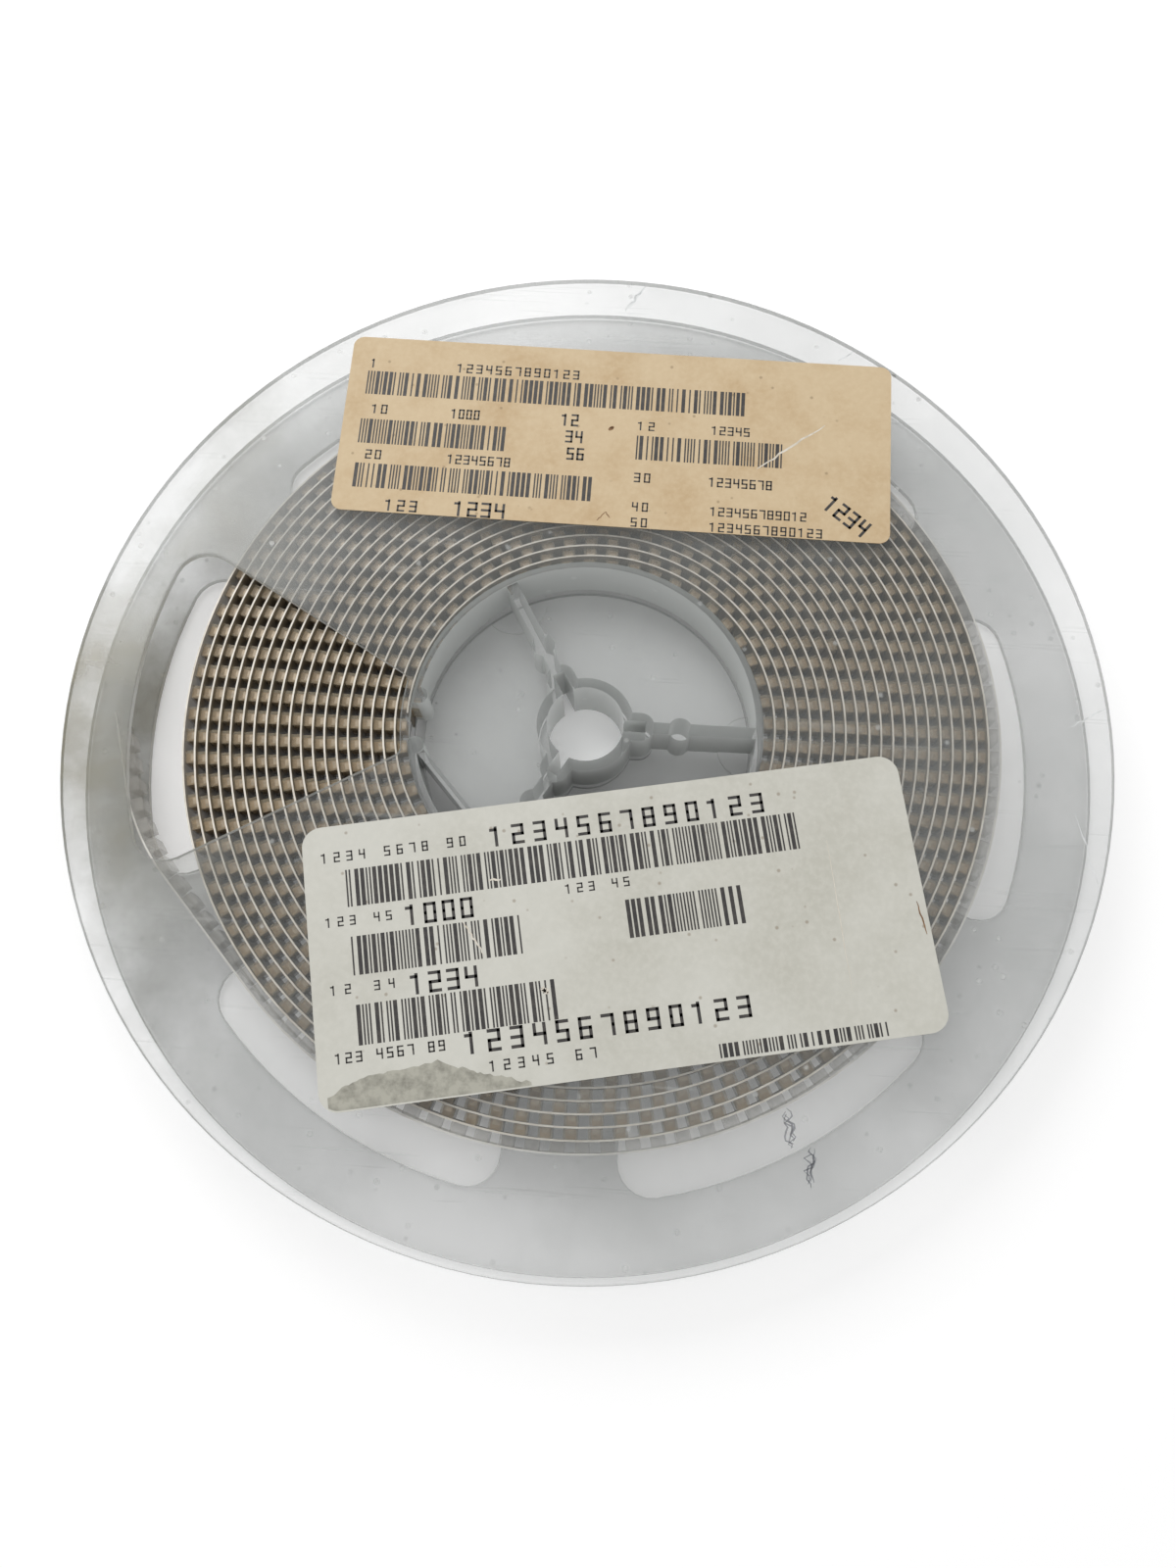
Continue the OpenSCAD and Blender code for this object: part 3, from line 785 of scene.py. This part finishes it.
class REEL_OT_labels(bpy.types.Operator):
    """Sticks the yellowed label and the white one on the front flange"""

    bl_idname = "reel.labels"
    bl_label = "Labels"

    def execute(self, context):
        labels = context.scene.reel_labels
        ink = grained("label_ink", labels.ink, srgb(62, 58, 54), 700.0, 0.5)
        aged = paper("aged_paper", labels.aged_paper, srgb(186, 158, 118), 95.0,
                     srgb(214, 194, 160))
        printed, _ = add_label("aged", AGED_AT, AGED_TURN, (100, 36), 2.0, aged,
                               AGED_BARS, AGED_DIGITS, "aged_label", 11)
        stamp = label_place(AGED_AT, AGED_TURN, LABEL_TOP - 0.01) @ (
            Matrix.Translation((39.6, -9.3, 0)) @ Matrix.Rotation(math.radians(-38), 4, "Z"))
        add_digits(printed, stamp, "1234", 0, 9.5, -3.0, 0.4)
        printed.make("aged_label_print", [ink], "aged_paper")
        white = paper("white_paper", labels.white_paper, srgb(184, 182, 170), 36.0,
                      srgb(214, 212, 203))
        printed, draw = add_label("white", WHITE_AT, WHITE_TURN, (100, 46), 3.2, white,
                                  WHITE_BARS, WHITE_DIGITS, "white_label", 12)
        printed.make("white_label_print", [ink], "white_paper")
        self.add_wear(draw)
        return {"FINISHED"}

    @staticmethod
    def add_wear(draw):
        """Scratches on both labels, and the white one's torn corner."""
        pale = grained("scratched_paper", srgb(222, 216, 204), srgb(200, 190, 172), 900.0, 0.8)
        brown = grained("stained_paper", srgb(110, 78, 48), srgb(150, 116, 80), 900.0, 0.7)
        aged_at = label_place(AGED_AT, AGED_TURN, LABEL_TOP - 0.006)
        white_at = label_place(WHITE_AT, WHITE_TURN, LABEL_TOP - 0.006)
        for name, material, slot_name, rows, bends, spread in (
                ("label_scratches", pale, "white_paper", SCRATCHES, 12, 1 / 2),
                ("label_stains", brown, "aged_paper", STAINS, 8, 1 / 3)):
            marks = Builder()
            for label, start, end, width in rows:
                place = aged_at if label == "aged" else white_at
                add_ribbon(marks, place, wobbly(draw, start, end, bends, width * spread), width)
            marks.make(name, [material], slot_name)
        grey = grained("torn_paper", srgb(176, 174, 162), srgb(138, 136, 126), 500.0, 0.9,
                       bump=0.8)
        corners = []
        for (x0, y0), (x1, y1) in zip(TEAR_EDGE, TEAR_EDGE[1:]):
            for k in range(TEAR_STEPS):
                x = x0 + (x1 - x0) * k / TEAR_STEPS
                top = y0 + (y1 - y0) * k / TEAR_STEPS + draw.uniform(-0.3, 0.3)
                inward = max(TEAR_CORNER_X - x, 0)
                foot = TEAR_FOOT + TEAR_CORNER_R - math.sqrt(TEAR_CORNER_R ** 2 - inward ** 2)
                corners += [white_at @ Vector((x, foot, 0)),
                            white_at @ Vector((x, max(top, foot), 0))]
        tear = Builder()
        tear.add(corners, [(2 * k, 2 * k + 2, 2 * k + 3, 2 * k + 1)
                           for k in range(len(corners) // 2 - 1)])
        tear.make("white_label_tear", [grey], "white_paper")


# Stress cracks and pen marks on the front flange, from one end to the other
CRACKS = (((6.0, 87.7), (2.5, 82.1), 0.7), ((42.6, 73.4), (45.3, 75.5), 0.35),
          ((81.9, 4.1), (88.1, 7.6), 0.3), ((82.0, -11.1), (85.1, -22.8), 0.2))
PEN_MARKS = (((35.3, -61.5), (36.4, -66.4)), ((38.9, -67.2), (38.9, -72.2)))


class REEL_OT_marks(bpy.types.Operator):
    """Adds the cracks and the pen marks of a used reel"""

    bl_idname = "reel.marks"
    bl_label = "Cracks and pen marks"

    def execute(self, context):
        draw = random.Random(21)
        place = label_place((0, 0), 0, FACE_Z + 0.01)
        white = grained("crack_white", srgb(236, 238, 238), srgb(206, 208, 208), 600.0, 0.5,
                        alpha=0.8)
        cracks = Builder()
        for start, end, width in CRACKS:
            add_ribbon(cracks, place, wobbly(draw, start, end, 9, 0.2), width)
            add_ribbon(cracks, place, wobbly(draw, start, end, 7, 0.5), width / 3)
        cracks.make("stress_cracks", [white], "clear_front")
        pen = grained("pen_ink", srgb(84, 88, 98), srgb(120, 124, 130), 500.0, 0.5, alpha=0.7)
        marks = Builder()
        for start, end in PEN_MARKS:
            for _ in range(4):
                shift = Vector((draw.uniform(-0.8, 0.8), draw.uniform(-1.0, 1.0)))
                line = [p + shift for p in wobbly(draw, start, end, 8, 0.7)]
                add_ribbon(marks, place, line, 0.28)
        marks.make("pen_marks", [pen], "clear_front")
        return {"FINISHED"}


FLOOR_HALF, FLOOR_Z = 900.0, -0.05
LAMP_AT, LAMP_SIZE = (-0.25, 0.45, 0.55), (0.5, 0.35)
LENS, SENSOR, CLIP_START = 27.66, 36.0, 0.01
CAMERA_AT = (6.41, -65.49, 205.9)
CAMERA_RIGHT = (0.99808, 0.06127, -0.00984)
CAMERA_UP = (-0.05627, 0.96043, 0.27277)
CAMERA_BACK = (0.02616, -0.27169, 0.96203)


def seen_directly(tree):
    """1 for the rays that see, reflect or refract the backdrop, 0 for those that light."""
    path = tree.nodes.new("ShaderNodeLightPath")
    return summed(tree, path.outputs["Is Camera Ray"], path.outputs["Is Glossy Ray"],
                  path.outputs["Is Transmission Ray"])


class REEL_OT_stage(bpy.types.Operator):
    """Lays the floor and sets the lamp, the world and the camera"""

    bl_idname = "reel.stage"
    bl_label = "Stage"

    def execute(self, context):
        settings = context.scene.reel_stage
        floor = bpy.data.meshes.new("floor")
        floor.from_pydata([Vector((x * FLOOR_HALF, y * FLOOR_HALF, FLOOR_Z)) * MM
                           for x, y in ((-1, -1), (1, -1), (1, 1), (-1, 1))], [], [(0, 1, 2, 3)])
        material, tree, shader = start_material("floor_white")
        shader.inputs["Base Color"].default_value = (0.96, 0.96, 0.96, 1)
        shader.inputs["Roughness"].default_value = 1.0
        shader.inputs["Specular IOR Level"].default_value = 0.0
        shader.inputs["Emission Color"].default_value = (1, 1, 1, 1)
        lift = ramp(tree, seen_directly(tree), 0, 1)
        lift.node.inputs["To Max"].default_value = settings.floor_lift
        tree.links.new(lift, shader.inputs["Emission Strength"])
        floor.materials.append(material)
        ground = bpy.data.objects.new("floor", floor)
        context.scene.collection.objects.link(ground)
        world = bpy.data.worlds.new("studio")
        world.use_nodes = True
        sky = world.node_tree.nodes["Background"]
        sky.inputs["Color"].default_value = (1, 1, 1, 1)
        level = ramp(world.node_tree, seen_directly(world.node_tree), 0, 1)
        level.node.inputs["To Min"].default_value = settings.world_level
        world.node_tree.links.new(level, sky.inputs["Strength"])
        context.scene.world = world
        data = bpy.data.lights.new("softbox", "AREA")
        data.shape = "RECTANGLE"
        data.size, data.size_y = LAMP_SIZE
        data.energy = settings.lamp_energy
        lamp = bpy.data.objects.new("softbox", data)
        lamp.location = LAMP_AT
        aim = -Vector(LAMP_AT)
        lamp.rotation_euler = aim.to_track_quat("-Z", "Y").to_euler()
        context.scene.collection.objects.link(lamp)
        camera = bpy.data.cameras.new("camera")
        camera.lens = LENS
        camera.sensor_width = SENSOR
        camera.clip_start = CLIP_START
        eye = bpy.data.objects.new("camera", camera)
        columns = (CAMERA_RIGHT, CAMERA_UP, CAMERA_BACK)
        turn = Matrix([[columns[c][r] for c in range(3)] for r in range(3)])
        eye.matrix_world = Matrix.Translation(Vector(CAMERA_AT) * MM) @ turn.to_4x4()
        context.scene.collection.objects.link(eye)
        context.scene.camera = eye
        context.scene.view_settings.view_transform = "Standard"
        return {"FINISHED"}


class REEL_PT_panel(bpy.types.Panel):
    """Lists what dresses the reel"""

    bl_label = "Tape reel"
    bl_idname = "REEL_PT_panel"
    bl_space_type = "VIEW_3D"
    bl_region_type = "UI"
    bl_category = "Tape reel"

    def draw(self, context):
        for operator in OPERATORS:
            self.layout.operator(operator.bl_idname)
        for name, _ in SETTINGS:
            box = self.layout.box()
            group = getattr(context.scene, name)
            for key in group.__annotations__:
                box.prop(group, key)


SETTINGS = (("reel_plastic", ReelPlasticSettings), ("reel_tape", TapeSettings),
            ("reel_chips", ChipSettings), ("reel_labels", LabelSettings),
            ("reel_stage", StageSettings))
OPERATORS = (REEL_OT_plastic, REEL_OT_winding, REEL_OT_chips, REEL_OT_labels, REEL_OT_marks,
             REEL_OT_stage)


def register():
    for _, group in SETTINGS:
        bpy.utils.register_class(group)
    for operator in OPERATORS:
        bpy.utils.register_class(operator)
    bpy.utils.register_class(REEL_PT_panel)
    for name, group in SETTINGS:
        setattr(bpy.types.Scene, name, PointerProperty(type=group))


def unregister():
    for name, _ in SETTINGS:
        delattr(bpy.types.Scene, name)
    bpy.utils.unregister_class(REEL_PT_panel)
    for operator in reversed(OPERATORS):
        bpy.utils.unregister_class(operator)
    for _, group in reversed(SETTINGS):
        bpy.utils.unregister_class(group)


def main():
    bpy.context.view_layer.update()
    register()
    build_groups()
    bpy.ops.reel.plastic()
    bpy.ops.reel.winding()
    bpy.ops.reel.chips()
    bpy.ops.reel.labels()
    bpy.ops.reel.marks()
    bpy.ops.reel.stage()


if __name__ == "__main__":
    main()
